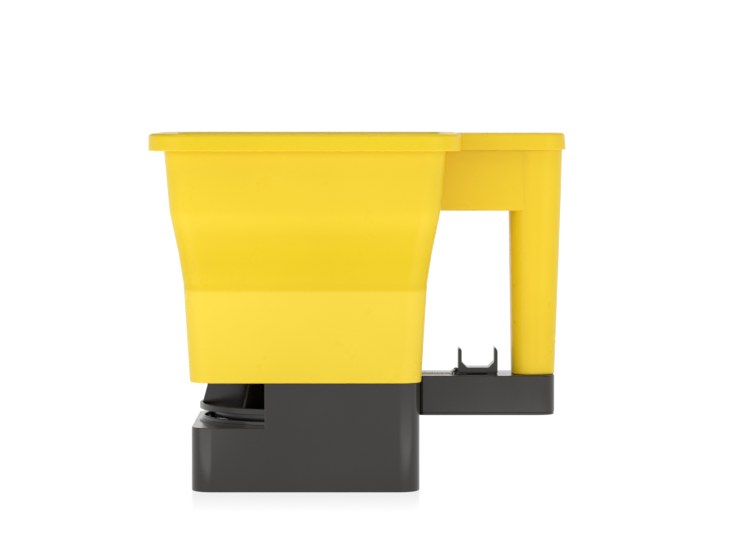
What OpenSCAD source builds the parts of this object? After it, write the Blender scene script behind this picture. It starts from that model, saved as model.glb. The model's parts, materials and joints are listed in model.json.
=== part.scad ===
// Hand-held rotary spreader for seed, salt and fertiliser.
// A tub with a built-in upright handle stands on a gear housing. A crank on the
// housing's far side turns a crown gear, which spins a vaned disc in the open front.
// A finger slider on the handle's arm moves a shutter under the tub.
// Front, where the disc throws, is -X. Up is +Z. The floor is z = 0, and the
// origin is the middle of the housing's footprint.

/* [Hopper] */
// Overall height, floor to lip
height = 238; // [225:1:250]
// Half length of the tub wall under the lip
tub_hl = 93; // [90:1:96]
// Half width of the tub wall under the lip
tub_hw = 82; // [78:1:86]
// How far the tub's foot is set in from the wall under the lip
tub_taper = 16; // [15:0.5:17]
// Corner radius of the tub wall
tub_r = 14; // [12:1:16]
// How far the turned-down lip stands out from the wall
lip_out = 10; // [8:0.5:12]
// Height of the turned-down lip
lip_h = 11.4; // [9:0.2:13]
// Wall thickness of the yellow moulding
wall = 2.5; // [2:0.25:3]

/* [Handle] */
// Half width of the bridge between tub and post
bridge_hw = 19.5; // [18:0.5:21]
// Depth of the bridge below the overall height
bridge_h = 52.5; // [45:0.5:60]
// Width of the post across the arm
post_w = 40; // [36:1:44]
// Length of the post's foot, along the arm
post_l = 29; // [27:0.5:31]

/* [Housing] */
// Length of the housing
base_l = 152; // [148:1:154]
// Width of the housing
base_w = 130; // [128:1:132]
// Corner radius of the housing
base_r = 14; // [12:1:16]
// Height of the housing
base_h = 72.7; // [72.5:0.1:73]
// Top of the deck under the disc
deck_z = 42.8; // [42.6:0.1:43]
// Wall thickness of the black mouldings
shell = 2.5; // [2.2:0.1:2.8]
// Rear edge of the open front
window_x = -27; // [-32:1:-24]

/* [Arm] */
// Far end of the arm
arm_end = 168.2; // [166:0.2:170]
// Width of the arm
arm_w = 46; // [44:1:48]
// Underside of the arm
arm_z0 = 47.4; // [45:0.2:50]
// Top of the arm
arm_z1 = 74.2; // [74:0.1:74.3]

/* [Disc] */
// Place of the disc's axis along the housing
disc_x = -13; // [-14:0.5:-12]
// Radius of the spinning disc
disc_r = 60; // [56:0.5:60.5]
// Number of vanes
vanes = 6; // [4:1:8]

/* [Crank] */
// Height of the crank's axis
crank_z = 20.5; // [20:0.1:21]
// Distance from the crank's axis to the knob's
crank_throw = 58; // [50:1:60]

/* [Shutter] */
// How far the shutter slides open
travel = 18; // [16:1:18]
// Diameter of the shutter's wire rod
rod_d = 1.8; // [1.6:0.1:1.8]

/* [Hidden] */
$fn = 64;
eps = 0.01;         // overlap that makes a cut or a union clean
seam = 0.02;        // between the two solids of the yellow moulding
gap = 0.1;          // clearance between parts that do not move on each other
run = 0.05;         // radial clearance of a shaft in its bearing
slide = 0.3;        // clearance of a sliding part
arc_n = 8;          // steps in a corner of the tub's loops

YELLOW = [0.93, 0.72, 0.08];
BLACK = [0.16, 0.16, 0.15];
DARK = [0.10, 0.10, 0.10];
ACETAL = [0.88, 0.87, 0.82];
STEEL = [0.62, 0.63, 0.65];
SCREW = [0.45, 0.46, 0.48];

// The tub's wall: how far it is set in from the wall under the lip, at each height
lip_z = height - lip_h;
kink_high = base_h + 113.3;
kink_mid = base_h + 86;
kink_low = base_h + 66;
TUB = [
    [tub_taper, base_h],
    [tub_taper * 0.770, kink_low - 4],
    [tub_taper * 0.752, kink_low],
    [tub_taper * 0.720, kink_low + 4],
    [tub_taper * 0.568, kink_mid],
    [tub_taper * 0.276, kink_high - 4],
    [tub_taper * 0.228, kink_high],
    [tub_taper * 0.203, kink_high + 4],
    [0, lip_z],
    [-0.6, height - wall]
];

floor_under = 77;           // underside of the tub's floor
floor_top = floor_under + wall;
deck_under = deck_z - shell;
cover_t = 2.4;              // thickness of the covers that close the housing and the arm
collar_r = disc_r - 1.3;
collar_h = 3.6;
guard_r = disc_r + 2.2;     // inside of the wall round the back of the disc
disc_z = 50.8;
vane_top = 70.5;
shaft_r = 2.5;
shaft_top = 92;
axle_r = 3.5;
pinion_z = 32.6;
pinion_h = 5.8;
crown_teeth = 36;
pinion_teeth = 12;
crown_r = 15;               // pitch radius of the crown gear, at the middle of its teeth
crown_face = 3;             // radial length of its teeth
pinion_r = crown_r * pinion_teeth / crown_teeth;
tooth_up = 0.62;
tooth_down = 0.95;
pitch = 2 * PI * crown_r / crown_teeth;
arm_face = base_w / 2 + 2.6;   // inner face of the crank's arm
arm_t = 6;
chute_z = 72.9;
chute_t = 2.2;
plate_z = 75.3;
plate_t = 1.5;
rod_z = 74.3;
rod_y = -2.7;
tab_x = 62;                 // where the rod hooks into the shutter's tab
lug = [101.6, 76.2];        // middle of the slider's lug, in X and Z
port_x = [4, 18];           // the ports in the floor, along X
port_y = [8, 24];           // and their near and far side from the middle
slider_x = [102.9, 129.8];
slider_w = 18;
fin_top = 92.2;
base_bosses = [for (x = [-66, 66], y = [-55, 55]) [x, y]];
hopper_bosses = [for (y = [-45, 45]) [62, y]];
chute_bosses = [for (x = [-34, 44], y = [-44, 44]) [x, y]];
arm_bosses = [for (y = [-17, 17]) y];
arm_cover_holes = [for (x = [92, 132], y = [-15, 15]) [x, y]];
post_x = 153.9;

// ---- shared shapes ----

// A rounded rectangle whose straight sides and corners stay true lines and arcs
module rounded(l, w, r) {
    square([l - 2 * r, w], center = true);
    square([l, w - 2 * r], center = true);
    for (x = [-1, 1], y = [-1, 1])
        translate([x * (l / 2 - r), y * (w / 2 - r)]) circle(r);
}

// The points of a rounded rectangle at height z, for a skin
function loop(hl, hw, r, z, cx = 0) = [
    for (c = [[1, 1, 0], [-1, 1, 90], [-1, -1, 180], [1, -1, 270]], i = [0 : arc_n])
        let (a = c[2] + 90 * i / arc_n)
        [cx + c[0] * (hl - r) + r * cos(a), c[1] * (hw - r) + r * sin(a), z]
];

// A solid skinned over loops that all have the same number of points
module skin(loops) {
    n = len(loops[0]);
    last = len(loops) - 1;
    polyhedron(
        points = [for (l = loops, p = l) p],
        faces = concat(
            [[for (i = [0 : n - 1]) i]],
            [for (k = [0 : last - 1], i = [0 : n - 1])
                [k * n + i, (k + 1) * n + i, (k + 1) * n + (i + 1) % n, k * n + (i + 1) % n]],
            [[for (i = [n - 1 : -1 : 0]) last * n + i]]
        ),
        convexity = 4
    );
}

// The tub's wall, set in by t from its outside
module tub_solid(t, z0, z1) {
    skin([
        for (s = TUB) loop(tub_hl - s[0] - t, tub_hw - s[0] - t, tub_r - t,
            s[1] <= base_h ? z0 : (s[1] >= height - wall ? z1 : s[1]))
    ]);
}

module ring(outer, inner, z0, z1) {
    translate([0, 0, z0]) difference() {
        cylinder(r = outer, h = z1 - z0);
        translate([0, 0, -eps]) cylinder(r = inner, h = z1 - z0 + 2 * eps);
    }
}

// A pan-head screw with a cross recess: head at the bottom, shank up
module screw(r, l, head_r, head_h) {
    difference() {
        union() {
            cylinder(r = head_r, h = head_h);
            cylinder(r = r, h = head_h + l - r);
            translate([0, 0, head_h + l - r]) cylinder(r1 = r, r2 = r * 0.3, h = r);
        }
        for (a = [0, 90]) rotate(a)
            translate([-head_r * 0.6, -head_r * 0.14, -eps])
                cube([head_r * 1.2, head_r * 0.28, head_h * 0.6]);
    }
}

module along_y(x, z) { translate([x, 0, z]) rotate([-90, 0, 0]) children(); }

// ---- yellow moulding: the tub and the handle are one piece, drawn as two solids that meet ----

// The lip's outside, set in by t, from its lower edge to the rounded top
function lip_rounding(t) = [
    [t, lip_z + t], [0.5 + t, height - 2.8], [0.9 + t, height - 1.2], [1.9 + t, height - 0.3 - t], [3 + t, height - t]
];

module lip_solid(t) {
    hl = tub_hl + lip_out;
    hw = tub_hw + lip_out;
    r = tub_r + lip_out;
    skin([for (s = lip_rounding(t)) loop(hl - s[0], hw - s[0], r - s[0], s[1])]);
}

module lip_ring() {
    inset = lip_out - 2;
    difference() {
        lip_solid(0);
        translate([0, 0, lip_z - eps]) linear_extrude(lip_h - wall + eps)
            rounded(2 * (tub_hl + inset), 2 * (tub_hw + inset), tub_r + inset);
    }
}

module handle_lid() {
    x0 = tub_hl - 2;
    x1 = 175.4;
    hw = bridge_hw + 6;
    r = 15;
    cx = (x0 + x1) / 2;
    hl = (x1 - x0) / 2;
    difference() {
        skin([for (s = lip_rounding(0)) loop(hl - s[0], hw - s[0], r - s[0], s[1], cx)]);
        translate([cx, 0, lip_z - eps]) linear_extrude(lip_h - wall + eps)
            rounded(2 * (hl - 2), 2 * (hw - 2), r - 2);
    }
}

module post_solid(t, z0, z1) {
    skin([
        loop(post_l / 2 - t, post_w / 2 - 1 - t, 13 - t, z0, post_x),
        loop(post_l / 2 + 2.8 - t, post_w / 2 + 0.6 - t, 14 - t, lip_z - 42, post_x + 0.9),
        loop(post_l / 2 + 3.6 - t, post_w / 2 + 1 - t, 14.5 - t, z1, post_x + 1.3)
    ]);
}

module bridge_solid(t, z0, z1) {
    x0 = tub_hl - 8;
    x1 = post_x - 6;
    translate([x0, -(bridge_hw - t), z0]) cube([x1 - x0, 2 * (bridge_hw - t), z1 - z0]);
}

module blind_boss(at, r, pilot, z0, z1) {
    translate([at[0], at[1], 0]) difference() {
        translate([0, 0, z0]) cylinder(r = r, h = z1 - z0);
        translate([0, 0, z0 - eps]) cylinder(r = pilot, h = z1 - z0 - wall + eps);
    }
}

// Where the shutter's rod passes through the tub's skirt
module rod_notch() {
    x = tub_hl - tub_taper;
    translate([x - wall - 1, rod_y - 1.7, base_h - 1]) cube([wall + 4, 3.4, rod_z + 2.5 - base_h]);
    translate([x - 1.1, rod_y - 1.7, base_h - 1]) cube([4, 3.4, lug[1] + 2.7 - base_h]);
}

module hopper() color(YELLOW) {
    difference() {
        union() {
            tub_solid(0, base_h, height - wall);
            lip_ring();
        }
        tub_solid(wall, floor_top, height + eps);
        translate([0, 0, base_h - eps]) linear_extrude(floor_under - base_h + eps)
            rounded(2 * (tub_hl - tub_taper - wall), 2 * (tub_hw - tub_taper - wall), tub_r - wall);
        rod_notch();
        translate([disc_x, 0, floor_under - 1]) cylinder(r = 6 + gap, h = wall + 2);
        for (s = [-1, 1]) translate([port_x[0], min(s * port_y[0], s * port_y[1]), floor_under - 1])
            cube([port_x[1] - port_x[0], port_y[1] - port_y[0], wall + 2]);
        for (b = concat(hopper_bosses, chute_bosses)) translate([b[0], b[1], floor_under - 1])
            cylinder(r = 3, h = wall + 2);
    }
    for (b = hopper_bosses) blind_boss(b, 4, 1.55, base_h + gap, floor_top + 7);
    for (b = chute_bosses) blind_boss(b, 3.6, 1.35, chute_z + chute_t + gap, floor_top + 6);
}

module handle() color(YELLOW) {
    bridge_z = height - bridge_h;
    top = height - wall;
    difference() {
        union() {
            handle_lid();
            bridge_solid(0, bridge_z, top);
            post_solid(0, arm_z1 + gap, top);
        }
        difference() {
            bridge_solid(wall, bridge_z - 1, top);
            post_solid(0, arm_z1, top + 1);
        }
        post_solid(wall, arm_z1, lip_z);
        tub_solid(-seam, base_h, height + 1);
        lip_solid(-seam);
    }
    // the boss in the post that the long screw bites into, on two webs
    translate([post_x, 0, 0]) ring(5, 2.05, arm_z1 + 10.4, arm_z1 + 34);
    for (s = [-1, 1]) translate([post_x - 1, s > 0 ? 4.7 : 0.7 - post_w / 2, arm_z1 + 12])
        cube([2, post_w / 2 - 5.4, 20]);
}

// ---- black housing ----

module housing_walls() {
    il = base_l - 2 * shell;
    iw = base_w - 2 * shell;
    difference() {
        linear_extrude(base_h) rounded(base_l, base_w, base_r);
        translate([0, 0, -eps]) linear_extrude(deck_under + eps) rounded(il, iw, base_r - shell);
        translate([0, 0, deck_z]) linear_extrude(base_h) rounded(il, iw, base_r - shell);
        translate([-base_l, -base_w, deck_z]) cube([base_l + window_x, 2 * base_w, base_h]);
    }
}

// A low tongue inside the tub's skirt that keeps the two mouldings in line
module tongue() {
    out_l = 2 * (tub_hl - tub_taper - wall) - slide * 2;
    out_w = 2 * (tub_hw - tub_taper - wall) - slide * 2;
    difference() {
        translate([0, 0, base_h - 4]) linear_extrude(6) difference() {
            rounded(out_l, out_w, tub_r - wall - slide);
            rounded(out_l - 3, out_w - 3, tub_r - wall - slide - 1.5);
        }
        translate([-base_l, -base_w, 0]) cube([base_l + window_x, 2 * base_w, base_h + 10]);
        translate([base_l / 2 - 8, rod_y - 2, 0]) cube([16, 4, base_h + 10]);
    }
}

// The wall round the back of the disc, open towards the front
module disc_guard() color(BLACK) intersection() {
    hw = base_w / 2 - shell - 1;
    translate([disc_x, 0, 0]) ring(guard_r + 2, guard_r, deck_z + gap, base_h - 0.4);
    translate([disc_x, -hw, 0]) cube([base_l, 2 * hw, base_h]);
}

module base_housing() color(BLACK) {
    difference() {
        union() {
            housing_walls();
            tongue();
            translate([disc_x, 0, 0]) {
                ring(collar_r, collar_r - 1.8, deck_z - eps, deck_z + collar_h);
                ring(collar_r + 1.6, collar_r - 1, deck_z - eps, deck_z + 1.3);
                ring(9, 4, deck_under - 1.5, deck_z + 1);
            }
            for (b = base_bosses) translate([b[0], b[1], 0]) ring(4.2, 1.55, 4 + gap, deck_under + eps);
            for (b = hopper_bosses) translate([b[0], b[1], cover_t + gap])
                cylinder(r = 5.2, h = base_h - cover_t - gap);
            // the rib that carries the crank axle's inner end
            translate([disc_x - 9, 22, 8]) cube([18, 4, deck_under - 8 + eps]);
            along_y(disc_x, crank_z) translate([0, 0, base_w / 2 - 7]) cylinder(r = 9, h = 6);
        }
        for (b = hopper_bosses) translate([b[0], b[1], 0]) {
            translate([0, 0, -eps]) cylinder(r = 3.6, h = 62);
            cylinder(r = 1.7, h = base_h + 1);
        }
        translate([disc_x, 0, 30]) cylinder(r = 5 + gap, h = 30);
        along_y(disc_x, crank_z) {
            translate([0, 0, 20]) cylinder(r = axle_r + run, h = 8);
            translate([0, 0, base_w / 2 - 10]) cylinder(r = 5.5 + gap, h = 20);
        }
        for (y = arm_bosses) translate([base_l / 2 - 10, y, 60]) rotate([0, 90, 0]) cylinder(r = 1.7, h = 20);
    }
}

module bottom_cover() color(BLACK) {
    il = base_l - 2 * (shell + gap);
    iw = base_w - 2 * (shell + gap);
    difference() {
        union() {
            linear_extrude(cover_t) rounded(il, iw, base_r - shell - gap);
            for (b = base_bosses) translate([b[0], b[1], 0]) cylinder(r = 4.2, h = 4);
            translate([disc_x, 0, cover_t - eps]) cylinder(r = 4, h = 6);
            for (s = [-1, 1]) translate([-50, s * 40 - 1, cover_t - eps]) cube([100, 2, 3]);
        }
        for (b = base_bosses) translate([b[0], b[1], -eps]) {
            cylinder(r = 3.3, h = 2);
            cylinder(r = 1.7, h = 6);
        }
        translate([disc_x, 0, cover_t]) cylinder(r = shaft_r + run, h = 10);
    }
}

module arm_plan(t) {
    x0 = base_l / 2 + gap + t;
    x1 = arm_end - t;
    translate([(x0 + x1) / 2, 0]) rounded(x1 - x0, arm_w - 2 * t, 12 - t);
    translate([x0 + 20, 0]) rounded(40, arm_w - 2 * t, max(3 - t, 0.5));
}

module arm_shell() color(BLACK) {
    z0 = arm_z0 + 1.9;
    roof = arm_z1 - shell;
    difference() {
        union() {
            difference() {
                translate([0, 0, z0]) linear_extrude(arm_z1 - z0) arm_plan(0);
                translate([0, 0, z0 - eps]) linear_extrude(roof - z0 + eps) arm_plan(shell);
            }
            for (h = arm_cover_holes) translate([h[0], h[1], 0]) ring(3.6, 1.35, z0, roof + eps);
            for (y = arm_bosses) translate([base_l / 2 + 1, y, 60]) rotate([0, 90, 0]) cylinder(r = 3.6, h = 13);
            // the spigot that the post stands on
            translate([post_x, 0, arm_z1 - eps]) linear_extrude(9) difference() {
                rounded(post_l - 2 * wall - 0.6, post_w - 2 - 2 * wall - 0.6, 10);
                rounded(post_l - 2 * wall - 4.6, post_w - 6 - 2 * wall - 0.6, 8);
            }
            translate([post_x, 0, roof - 4]) cylinder(r = 5.6, h = 4 + shell + 9);
        }
        for (y = arm_bosses) translate([base_l / 2 - 1, y, 60]) rotate([0, 90, 0]) cylinder(r = 1.55, h = 13);
        translate([post_x, 0, roof - 5]) cylinder(r = 2.15, h = 30);
        // step under the tub's foot
        translate([base_l / 2 - 1, -arm_w, base_h - gap]) cube([tub_hl - tub_taper - base_l / 2 + 1.4, 2 * arm_w, 5]);
        // groove for the rod and slot for the slider's neck
        translate([base_l / 2 - 1, rod_y - 1.3, rod_z - 1.2]) cube([28, 2.6, 5]);
        translate([109 - travel - 0.5, -3.4, roof - 1]) cube([14 + travel + 1, 6.8, shell + 2]);
    }
}

module arm_cover() color(BLACK) {
    difference() {
        union() {
            translate([0, 0, arm_z0]) linear_extrude(1.8) arm_plan(0.3);
            for (h = arm_cover_holes) translate([h[0], h[1], arm_z0]) cylinder(r = 3.6, h = 1.8);
        }
        for (h = arm_cover_holes) translate([h[0], h[1], arm_z0 - eps]) {
            cylinder(r1 = 3.1, r2 = 1.6, h = 1.5);
            cylinder(r = 1.6, h = 4);
        }
    }
}

// ---- under the tub's floor ----

module chute_plate() color(BLACK) {
    difference() {
        union() {
            translate([5, 0, chute_z]) linear_extrude(chute_t) rounded(94, 104, 8);
            for (s = [-1, 1]) translate([-42, s > 0 ? 30.2 : -33.2, chute_z]) cube([94, 3, floor_under - chute_z - gap]);
        }
        translate([disc_x, 0, chute_z - 1]) cylinder(r = 6, h = 10);
        for (s = [-1, 1]) translate([port_x[0] - 1, min(s * port_y[0], s * port_y[1]) - 1, chute_z - 1])
            cube([port_x[1] - port_x[0] + 2, port_y[1] - port_y[0] + 2, 6]);
        for (b = chute_bosses) translate([b[0], b[1], chute_z - 1]) cylinder(r = 1.4, h = 6);
        translate([34, rod_y - 1.6, chute_z - 1]) cube([30, 3.2, 6]);
    }
}

module floor_seal() color(DARK) translate([disc_x, 0, 0]) {
    ring(6, shaft_r + 0.1, floor_under, floor_top + gap);
    ring(8.5, shaft_r + 0.1, floor_top + gap, floor_top + 1.2);
}

module deck_bush() color(ACETAL) translate([disc_x, 0, 0]) {
    ring(5, shaft_r + run, deck_under - 1.5, deck_z + 1);
    ring(7.5, shaft_r + run, deck_z + 1 + gap / 2, deck_z + 2.2);
    ring(5, shaft_r + run, deck_z + 1 - eps, deck_z + 1.1);
}

module crank_bush() color(ACETAL) along_y(disc_x, crank_z) {
    ring(5.5, axle_r + run, base_w / 2 - 7, base_w / 2 + gap);
    ring(8.5, axle_r + run, base_w / 2 + gap, base_w / 2 + 1.6);
}

module thrust_washer() color(STEEL) translate([disc_x, 0, cover_t + 0.02]) cylinder(r = shaft_r - 0.05, h = 0.8);

// ---- fasteners of the housing ----

module base_screws() color(SCREW)
    for (b = base_bosses) translate([b[0], b[1], 0.35]) screw(1.5, 11, 3, 1.6);

module hopper_screws() color(SCREW)
    for (b = hopper_bosses) translate([b[0], b[1], 62 - 1.65]) screw(1.5, 16, 3, 1.6);

module chute_screws() color(SCREW)
    for (b = chute_bosses) translate([b[0], b[1], chute_z - 1.55]) screw(1.25, 8, 2.6, 1.5);

module arm_screws() color(SCREW)
    for (y = arm_bosses) translate([base_l / 2 - shell - 1.65, y, 60]) rotate([0, 90, 0]) screw(1.5, 13, 3, 1.6);

module arm_cover_screws() color(SCREW)
    for (h = arm_cover_holes) translate([h[0], h[1], arm_z0 + 0.1]) {
        difference() {
            union() {
                cylinder(r1 = 2.9, r2 = 1.25, h = 1.5);
                cylinder(r = 1.25, h = 10);
            }
            for (a = [0, 90]) rotate(a) translate([-1.7, -0.35, -eps]) cube([3.4, 0.7, 0.8]);
        }
    }

module post_screw() color(SCREW)
    translate([post_x, 0, arm_z1 - shell - 4 - 2.5]) screw(2, 34, 4.2, 2.4);

// ---- impeller ----

// The shape that the vanes' tips sweep: they slope in towards the top
module vane_envelope() {
    rotate_extrude() polygon([[0, disc_z + 1.5], [disc_r - 1.3, disc_z + 1.5], [disc_r - 1.4, 55.9],
        [disc_r - 6.3, vane_top], [0, vane_top]]);
}

module vane() {
    bend = 70;
    mid = (8 + disc_r) / 2;
    reach = disc_r - mid;
    intersection() {
        translate([mid, -sqrt(bend * bend - reach * reach), disc_z + 1.5])
            ring(bend + 0.8, bend - 0.8, 0, vane_top - disc_z);
        translate([7, -4, 0]) cube([disc_r, 14, 100]);
    }
}

module impeller() color(DARK) {
    rib_r = disc_r - 10;    // the stiffening ring under the disc
    rib_z = deck_z + 2.8;
    difference() {
        union() {
            translate([disc_x, 0, 0]) rotate_extrude() polygon([
                [0, 47.5], [9, 47.5], [9, disc_z + 0.8], [rib_r - 1.8, disc_z + 0.8], [rib_r - 1.8, rib_z],
                [rib_r, rib_z], [rib_r, disc_z + 0.8], [disc_r - 1.6, disc_z + 0.8], [disc_r - 1.6, disc_z],
                [disc_r - 0.4, disc_z], [disc_r, disc_z + 0.4], [disc_r, 54.6], [disc_r - 0.4, 55],
                [disc_r - 1, 55], [disc_r - 1.6, 54.4], [disc_r - 2.4, disc_z + 2.4], [9, disc_z + 2.4],
                [8, 64], [7.4, 66], [0, 66]]);
            translate([disc_x, 0, 0]) intersection() {
                vane_envelope();
                for (i = [0 : vanes - 1]) rotate(180 + 360 * i / vanes) vane();
            }
        }
        translate([disc_x, 0, 40]) cylinder(r = shaft_r + run, h = 40);
        translate([disc_x - 20, 0, 61]) rotate([0, 90, 0]) cylinder(r = 1.05, h = 40);
    }
}

module impeller_shaft() color(STEEL) difference() {
    translate([disc_x, 0, cover_t + 0.9]) cylinder(r = shaft_r, h = shaft_top - cover_t - 0.9);
    translate([disc_x - 20, 0, 61]) rotate([0, 90, 0]) cylinder(r = 1.05, h = 40);
    translate([disc_x, 0, 0]) ring(4, 2, 90.4, 91.2);
}

module impeller_pin() color(STEEL) translate([disc_x - 7.2, 0, 61]) rotate([0, 90, 0]) cylinder(r = 1, h = 14.4);

module pinion_tooth() {
    root = pinion_r - tooth_down;
    polygon([[root - 0.4, -0.8], [root, -0.8], [pinion_r, -0.5], [pinion_r + tooth_up, -0.2],
        [pinion_r + tooth_up, 0.2], [pinion_r, 0.5], [root, 0.8], [root - 0.4, 0.8]]);
}

module pinion() color(ACETAL) translate([disc_x, 0, 0]) difference() {
    union() {
        translate([0, 0, pinion_z]) linear_extrude(pinion_h) {
            circle(pinion_r - tooth_down);
            for (i = [0 : pinion_teeth - 1]) rotate(90 + 360 * i / pinion_teeth) pinion_tooth();
        }
        translate([0, 0, 28.5]) cylinder(r = pinion_r - tooth_down, h = 4.2);
    }
    translate([0, 0, 20]) cylinder(r = shaft_r + run, h = 30);
}

module agitator() color(DARK) translate([disc_x, 0, 0]) difference() {
    union() {
        translate([0, 0, floor_top + 1.5]) cylinder(r = 6, h = 8.6);
        for (a = [0, 120, 240]) rotate(a) {
            translate([4, -1.5, floor_top + 2]) cube([26, 3, 4]);
            translate([30, 0, floor_top + 2]) cylinder(r = 2.2, h = 9);
        }
    }
    translate([0, 0, floor_top]) cylinder(r = shaft_r + run, h = 20);
}

module agitator_clip() color(STEEL) translate([disc_x, 0, 0]) difference() {
    ring(4.4, 2.05, 90.45, 91.15);
    translate([0, -1.6, 90]) cube([6, 3.2, 2]);
}

// ---- crank ----

module crown_tooth() {
    half = pitch / 4 - 0.1;
    slope = tan(20);
    tip = pinion_r - tooth_up;
    root = pinion_r + tooth_down;
    translate([crown_r - crown_face / 2, 0, 0]) rotate([90, 0, 90]) linear_extrude(crown_face)
        polygon([[-half + tooth_up * slope, tip], [half - tooth_up * slope, tip],
            [half + tooth_down * slope, root + 0.3], [-half - tooth_down * slope, root + 0.3]]);
}

module crown_gear() color(ACETAL) along_y(disc_x, crank_z) {
    root = pinion_r + tooth_down;
    difference() {
        union() {
            translate([0, 0, root]) cylinder(r = crown_r + crown_face / 2 + 0.6, h = 2.6);
            translate([0, 0, root + 2.5]) cylinder(r = 6.5, h = 11);
            for (i = [0 : crown_teeth - 1]) rotate(360 * (i + 0.5) / crown_teeth) crown_tooth();
        }
        translate([0, 0, root + 2.2]) cylinder(r = axle_r + run, h = 20);
        translate([0, 0, 0]) cylinder(r = 1.6, h = 20);
    }
}

module crank_axle() color(STEEL) along_y(disc_x, crank_z) difference() {
    z0 = pinion_r + tooth_down + 2.3;
    translate([0, 0, z0]) cylinder(r = axle_r, h = arm_face + arm_t - 0.3 - z0);
    translate([0, 0, z0 - 1]) cylinder(r = 1.55, h = 12);
    translate([0, 0, arm_face + arm_t - 12]) cylinder(r = 1.55, h = 14);
}

module gear_screw() color(SCREW) along_y(disc_x, crank_z)
    translate([0, 0, pinion_r + tooth_down - 1.65]) screw(1.5, 11, 3, 1.6);

module crank_arm() color(DARK) along_y(disc_x, crank_z) translate([0, 0, arm_face]) difference() {
    union() {
        cylinder(r = 8.5, h = arm_t);
        translate([0, -crank_throw, 0]) cylinder(r = 7, h = arm_t);
        linear_extrude(arm_t - 1.5)
            polygon([[-7.6, 0], [7.6, 0], [6.2, -crank_throw], [-6.2, -crank_throw]]);
        translate([-1.2, -crank_throw, 0]) cube([2.4, crank_throw, arm_t]);
    }
    translate([0, 0, -1]) cylinder(r = axle_r + run, h = arm_t + 2);
    translate([0, -crank_throw, -1]) cylinder(r = 2.05, h = arm_t + 2);
}

module crank_screw() color(SCREW) along_y(disc_x, crank_z)
    translate([0, 0, arm_face + arm_t + 0.05 + 1.8]) rotate([180, 0, 0]) screw(1.5, 11, 5.2, 1.8);

module knob_pin() color(STEEL) along_y(disc_x, crank_z + crank_throw) {
    translate([0, 0, arm_face + 0.3]) cylinder(r = 2, h = arm_t);
    translate([0, 0, arm_face + arm_t + 0.05]) cylinder(r = 3, h = 38);
    translate([0, 0, arm_face + arm_t + 38]) cylinder(r = 4.8, h = 2);
}

module crank_knob() color(DARK) along_y(disc_x, crank_z + crank_throw) translate([0, 0, arm_face + arm_t + 0.5])
    rotate_extrude() polygon([[3.06, 0], [7.5, 0], [9, 0.8], [10.2, 4], [10.8, 12], [11.6, 22], [12, 32],
        [11.6, 38], [10, 41.4], [8.4, 42.4], [5.6, 42.4], [5.6, 37.2], [3.06, 37.2]]);

module knob_cap() color(DARK) along_y(disc_x, crank_z + crank_throw)
    translate([0, 0, arm_face + arm_t + 0.5 + 40.4]) cylinder(r = 5.5, h = 1.8);

// ---- shutter ----

module shutter_plate() color(BLACK) difference() {
    union() {
        translate([-8, -29.7, plate_z]) cube([66, 59.4, plate_t]);
        translate([57, -6, plate_z]) cube([9, 12, plate_t]);
    }
    translate([-9, -5.2, plate_z - 1]) cube([23.5, 10.4, 4]);
    for (s = [-1, 1]) translate([port_x[0] + travel, min(s * port_y[0], s * port_y[1]), plate_z - 1])
        cube([port_x[1] - port_x[0], port_y[1] - port_y[0], 4]);
    translate([tab_x, rod_y, plate_z - 1]) cylinder(r = rod_d / 2 + run, h = 4);
}

// A quarter bend of the rod, in the plane of X and Y
module elbow(bend) rotate_extrude(angle = 90) translate([bend, 0]) circle(rod_d / 2);

module shutter_rod() color(STEEL) {
    r = rod_d / 2;
    x0 = tab_x + 1;
    rise_x = lug[0] - 3.4;
    rise = 1.6;
    slope = atan2(lug[1] - rod_z, rise);
    x1 = lug[0] - 1.4;
    translate([tab_x, rod_y, rod_z + 1]) cylinder(r = r, h = plate_z + plate_t - rod_z - 1.1);
    translate([x0, rod_y, rod_z + 1]) rotate([90, 180, 0]) elbow(1);
    translate([x0, rod_y, rod_z]) rotate([0, 90, 0]) cylinder(r = r, h = rise_x - x0);
    translate([rise_x, rod_y, rod_z]) sphere(r = r + 0.02);
    translate([rise_x, rod_y, rod_z]) rotate([0, 90 - slope, 0])
        cylinder(r = r, h = norm([rise, lug[1] - rod_z]));
    translate([rise_x + rise, rod_y, lug[1]]) sphere(r = r + 0.02);
    translate([rise_x + rise, rod_y, lug[1]]) rotate([0, 90, 0]) cylinder(r = r, h = x1 - rise_x - rise);
    translate([x1, rod_y + 1.4, lug[1]]) rotate([0, 0, -90]) elbow(1.4);
    translate([lug[0], rod_y + 1.4, lug[1]]) rotate([-90, 0, 0]) cylinder(r = r, h = 3.6);
}

module finger_slider() color(BLACK) {
    x0 = slider_x[0];
    x1 = slider_x[1];
    z0 = arm_z1 + slide;
    fin = 2.5;
    block = 78.6;
    gusset = 3.7;
    difference() {
        union() {
            translate([0, slider_w / 2, 0]) rotate([90, 0, 0]) linear_extrude(slider_w) {
                polygon([[x0, z0], [x1, z0], [x1, fin_top - 1], [x1 - fin, fin_top - 1], [x1 - fin, block + gusset],
                    [x1 - fin - gusset, block], [x0 + fin + gusset, block], [x0 + fin, block + gusset],
                    [x0 + fin, fin_top - 1.4], [x0, fin_top - 1.4]]);
                translate([x0 + fin / 2, fin_top - 1.45]) circle(fin / 2);
                translate([x1 - fin / 2, fin_top - 1.05]) circle(fin / 2);
            }
            translate([109, -3, arm_z1 - shell - 0.1]) cube([14, 6, shell + slide + 0.2]);
            rotate([90, 0, 0]) translate([lug[0], lug[1], -1.3]) cylinder(r = 1.85, h = 2.6);
            translate([lug[0], -1.3, lug[1] - 1.2]) cube([x0 - lug[0] + 1, 2.6, 2.4]);
        }
        rotate([90, 0, 0]) translate([lug[0], lug[1], -5]) cylinder(r = rod_d / 2 + run, h = 10);
        translate([116, 0, 66]) cylinder(r = 1.3, h = 11.5);
    }
}

module slider_keeper() color(BLACK) difference() {
    translate([106, -8, arm_z1 - shell - 2.4]) cube([20, 16, 2.2]);
    translate([116, 0, 60]) cylinder(r = 1.4, h = 20);
}

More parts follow.
